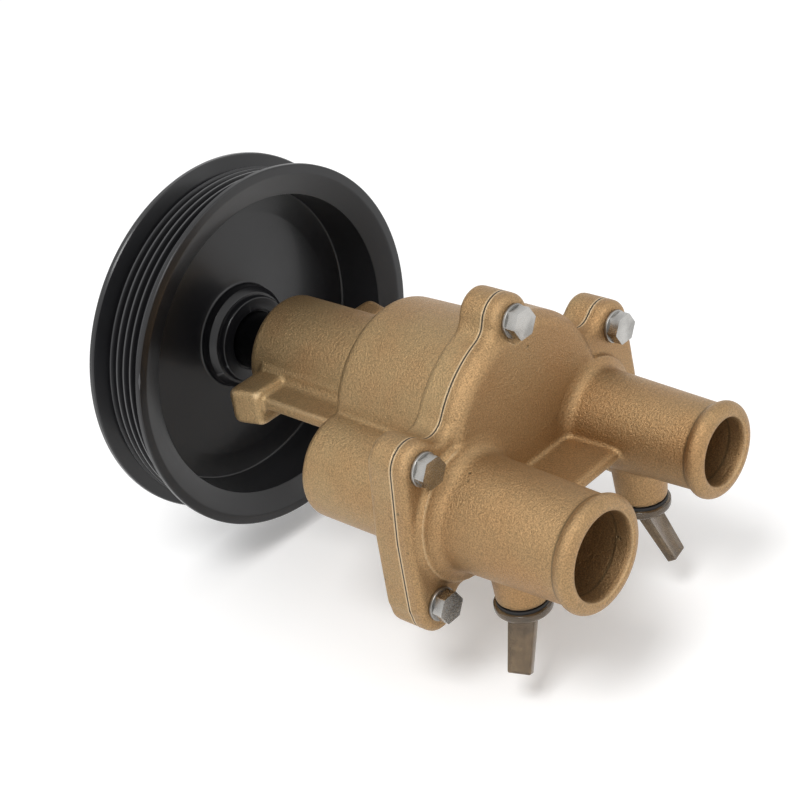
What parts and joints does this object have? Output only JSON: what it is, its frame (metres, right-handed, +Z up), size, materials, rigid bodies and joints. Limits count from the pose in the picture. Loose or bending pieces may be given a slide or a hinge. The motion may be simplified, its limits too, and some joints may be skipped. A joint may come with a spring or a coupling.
{
  "type": "flexible impeller pump",
  "caption": "Sea-water pump with a rubber impeller in a cast bronze body, two beaded hose ports with drain plugs, bolted cover, bracket ears and a grooved belt pulley.",
  "frame": {"origin": "on the shaft's axis in the plane of the mounting ears' pulley-side faces, midway between the two ear bolts", "axes": "+Y along the shaft towards the pulley, the ports open at -Y, +Z up with the drain plugs down, +X towards the smaller port"},
  "size_m": [0.14, 0.2039, 0.14],
  "materials": {
    "cast_bronze": "sand-cast bronze, fine grained, lightly worn edges",
    "cam_bronze": "machined bronze",
    "cage_brass": "pressed brass",
    "gasket_paper": "thin dark joint paper",
    "stainless_bolt": "stainless steel, turned",
    "steel_plate": "ground stainless plate",
    "spring_steel": "spring steel",
    "bearing_steel": "polished bearing steel",
    "black_steel": "blackened steel",
    "black_enamel": "glossy black coating on turned steel",
    "black_rubber": "nitrile rubber",
    "carbon": "lapped carbon",
    "ceramic": "white ceramic",
    "smoke_plastic": "smoke-brown see-through plastic"
  },
  "bodies": {
    "casing": {"pump_body": "cast_bronze", "seal_housing": "cast_bronze", "bearing_housing": "cast_bronze", "cover": "cast_bronze", "cover_gasket": "gasket_paper", "cover_bolts": "stainless_bolt", "bolt_washers": "stainless_bolt", "cam": "cam_bronze", "cam_screw": "stainless_bolt", "wear_plate": "steel_plate", "dust_seal": "black_rubber", "retaining_ring": "spring_steel", "front_outer_ring": "bearing_steel", "rear_outer_ring": "bearing_steel", "bearing_shields": "steel_plate", "seal_seat": "ceramic"},
    "rotor": {"pulley": "black_enamel", "shaft": "black_steel", "front_inner_ring": "bearing_steel", "rear_inner_ring": "bearing_steel", "bearing_spacer": "black_steel", "slinger": "black_rubber", "seal_face": "carbon", "seal_head": "black_rubber", "seal_spring": "spring_steel", "seal_retainer": "spring_steel", "impeller_bushing": "cam_bronze", "impeller": "black_rubber", "impeller_key": "spring_steel"},
    "front_ball_set": {"front_balls": "bearing_steel", "front_cage": "cage_brass"},
    "rear_ball_set": {"rear_balls": "bearing_steel", "rear_cage": "cage_brass"},
    "left_plug_seat": {"left_drain_ring": "black_rubber"},
    "left_plug": {"left_drain_plug": "smoke_plastic"},
    "right_plug_seat": {"right_drain_ring": "black_rubber"},
    "right_plug": {"right_drain_plug": "smoke_plastic"}
  },
  "joints": [
    {"name": "rotor_spin", "type": "hinge", "parent": "casing", "child": "rotor", "pos_m": [0, 0, 0], "axis": [0, 1, 0], "continuous": true, "deforming": ["impeller"]},
    {"name": "front_cage_spin", "type": "hinge", "parent": "casing", "child": "front_ball_set", "pos_m": [0, 0, 0], "axis": [0, 1, 0], "continuous": true},
    {"name": "rear_cage_spin", "type": "hinge", "parent": "casing", "child": "rear_ball_set", "pos_m": [0, 0, 0], "axis": [0, 1, 0], "continuous": true},
    {"name": "left_plug_travel", "type": "slide", "parent": "casing", "child": "left_plug_seat", "axis": [0, 0, -1], "range_m": [0, 0.01]},
    {"name": "left_plug_turn", "type": "hinge", "parent": "left_plug_seat", "child": "left_plug", "pos_m": [-0.0344, -0.1275, -0.0425], "axis": [0, 0, -1], "range_deg": [0, 1800]},
    {"name": "right_plug_travel", "type": "slide", "parent": "casing", "child": "right_plug_seat", "axis": [0, 0, -1], "range_m": [0, 0.01]},
    {"name": "right_plug_turn", "type": "hinge", "parent": "right_plug_seat", "child": "right_plug", "pos_m": [0.0344, -0.1275, -0.0425], "axis": [0, 0, -1], "range_deg": [0, 1800]}
  ],
  "couplings": [
    {"joint": "front_cage_spin", "follows": "rotor_spin", "ratio": 0.40769},
    {"joint": "rear_cage_spin", "follows": "rotor_spin", "ratio": 0.40769},
    {"joint": "left_plug_turn", "follows": "left_plug_travel", "rad_per_m": 3141.6},
    {"joint": "right_plug_turn", "follows": "right_plug_travel", "rad_per_m": 3141.6}
  ]
}
